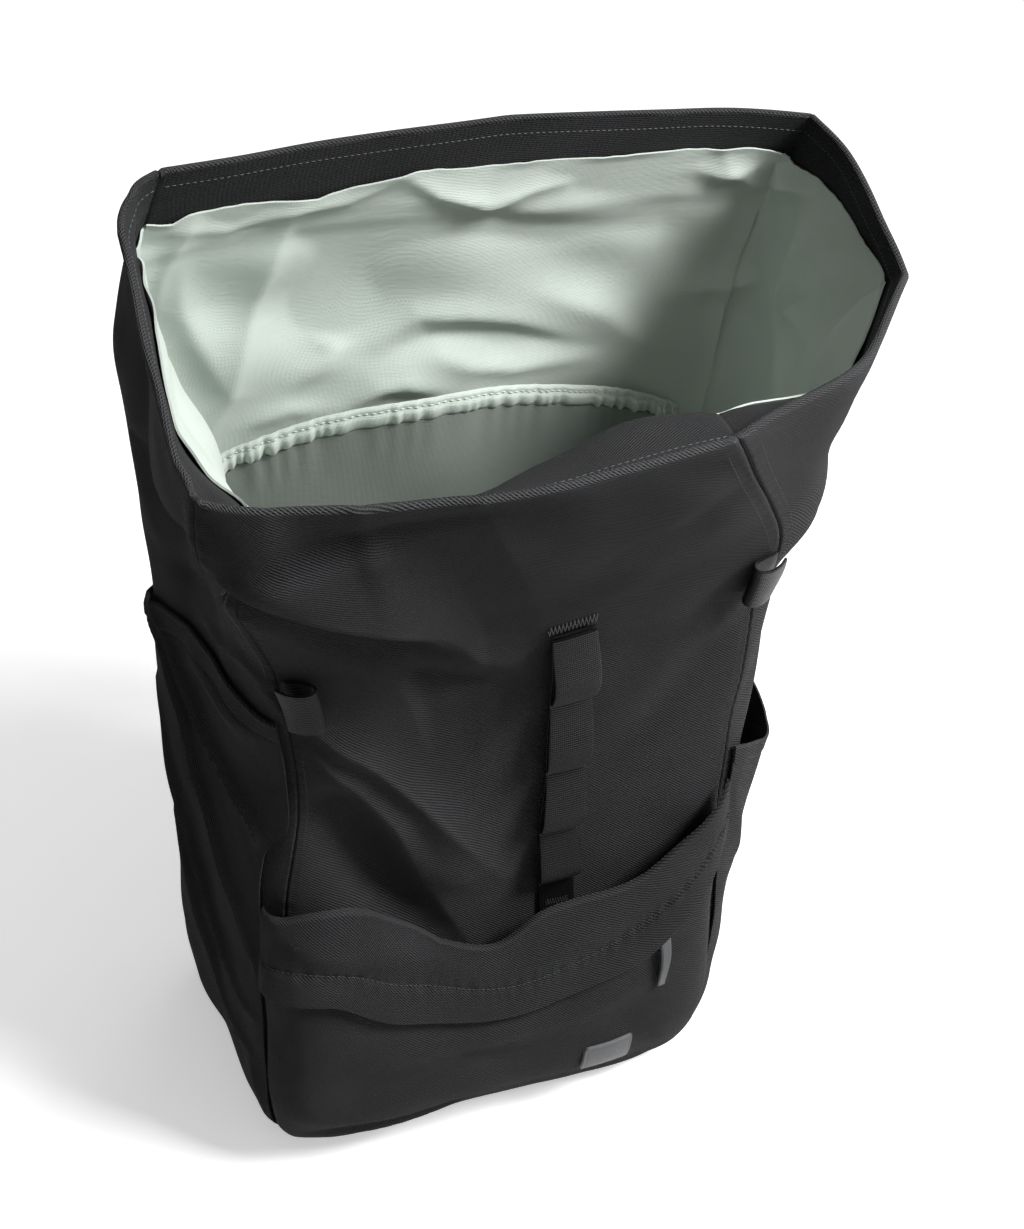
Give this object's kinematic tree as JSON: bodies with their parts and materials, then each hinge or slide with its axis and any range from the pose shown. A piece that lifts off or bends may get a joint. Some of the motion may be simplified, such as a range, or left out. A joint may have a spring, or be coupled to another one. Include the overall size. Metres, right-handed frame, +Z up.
{
  "type": "rolltop backpack",
  "caption": "Tall rolltop backpack standing open, with a zipped front pocket, side pockets, daisy chain and shoulder straps.",
  "frame": {"origin": "middle of the base's flat underside, where the bag stands", "axes": "+Z up, the front faces -Y, +X to the right of someone looking at the front"},
  "size_m": [0.3764, 0.3577, 0.6198],
  "materials": {
    "twill": "matt black twill",
    "webbing": "semi-gloss black woven webbing",
    "plastic": "satin black",
    "mesh": "matt black padded mesh",
    "lining": "matt sage green ripstop",
    "leather": "satin dark grey"
  },
  "bodies": {
    "root": {"front_panel": "twill", "side_panel_right": "twill", "side_panel_left": "twill", "back_panel": "twill", "base_panel": "twill", "mouth_facing": "twill", "pocket_lower": "twill", "pocket_upper": "twill", "side_pocket_left": "twill", "side_pocket_right": "twill", "lining": "lining", "laptop_sleeve": "lining", "sleeve_hem": "lining", "pocket_zip": "webbing", "daisy_base": "webbing", "daisy_loops": "webbing", "loop_left": "webbing", "loop_right": "webbing", "strap_webbing_left": "webbing", "strap_webbing_right": "webbing", "grab_handle": "webbing", "zip_pull": "leather", "label_patch": "leather", "back_padding": "mesh", "strap_pad_left": "mesh", "strap_pad_right": "mesh", "adjuster_left": "plastic", "adjuster_right": "plastic"}
  },
  "joints": []
}
